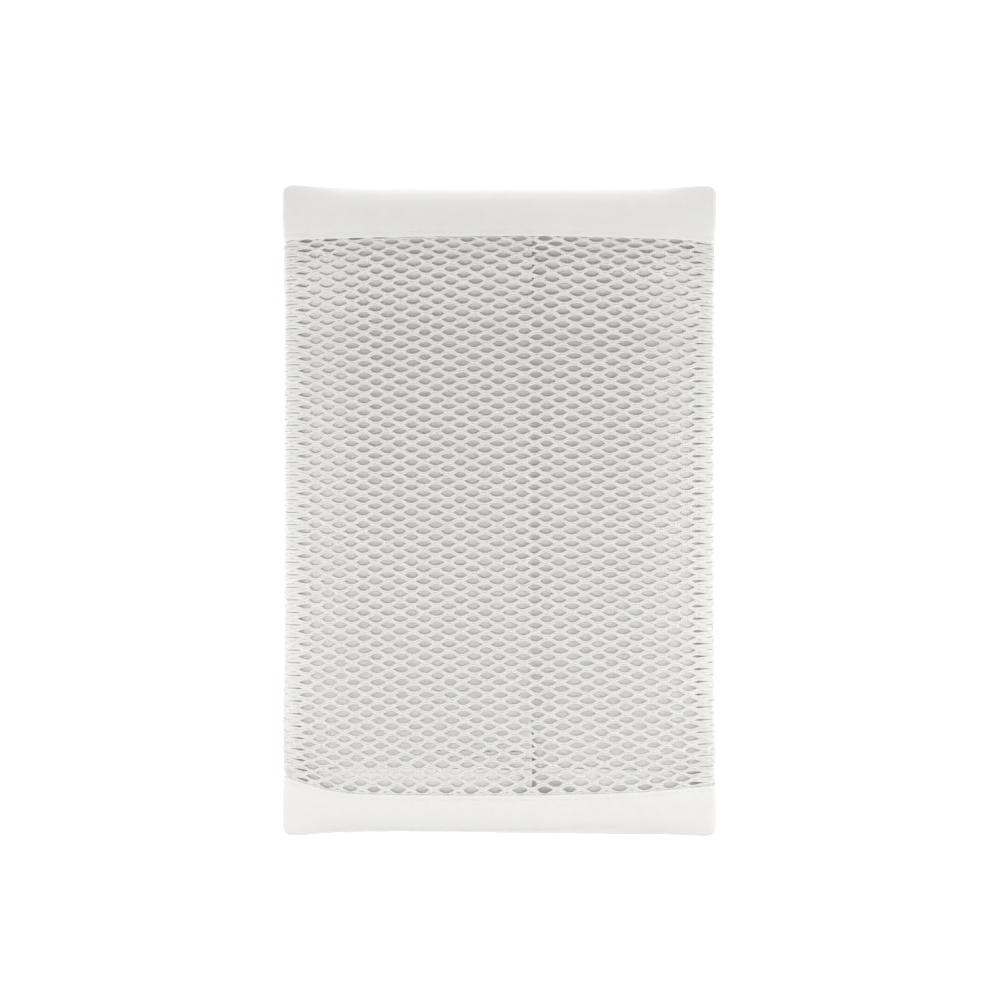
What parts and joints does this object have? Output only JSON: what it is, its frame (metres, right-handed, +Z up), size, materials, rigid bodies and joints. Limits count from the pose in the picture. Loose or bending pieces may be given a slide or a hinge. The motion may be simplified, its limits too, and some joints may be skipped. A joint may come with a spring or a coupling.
{
  "type": "folded mesh crib bumper",
  "caption": "Long single-layer mesh crib bumper with a smooth fold-over binding on each long edge, folded back and forth into a flat packet that lies on its back.",
  "frame": {"origin": "bottom centre of the folded packet, on the surface that it lies on", "axes": "+X to the right across the packet, along the panel's length; +Y across the panel's height, towards its upper binding; +Z up, towards the viewer of the packet's face"},
  "size_m": [0.1526, 0.2276, 0.0459],
  "materials": {
    "mesh_knit": "open warp-knit polyester mesh, white, matte",
    "binding_tape": "brushed knit binding tape, white, soft and matte"
  },
  "bodies": {
    "root": {"mesh_panel": "mesh_knit", "upper_binding": "binding_tape", "lower_binding": "binding_tape"}
  },
  "joints": []
}
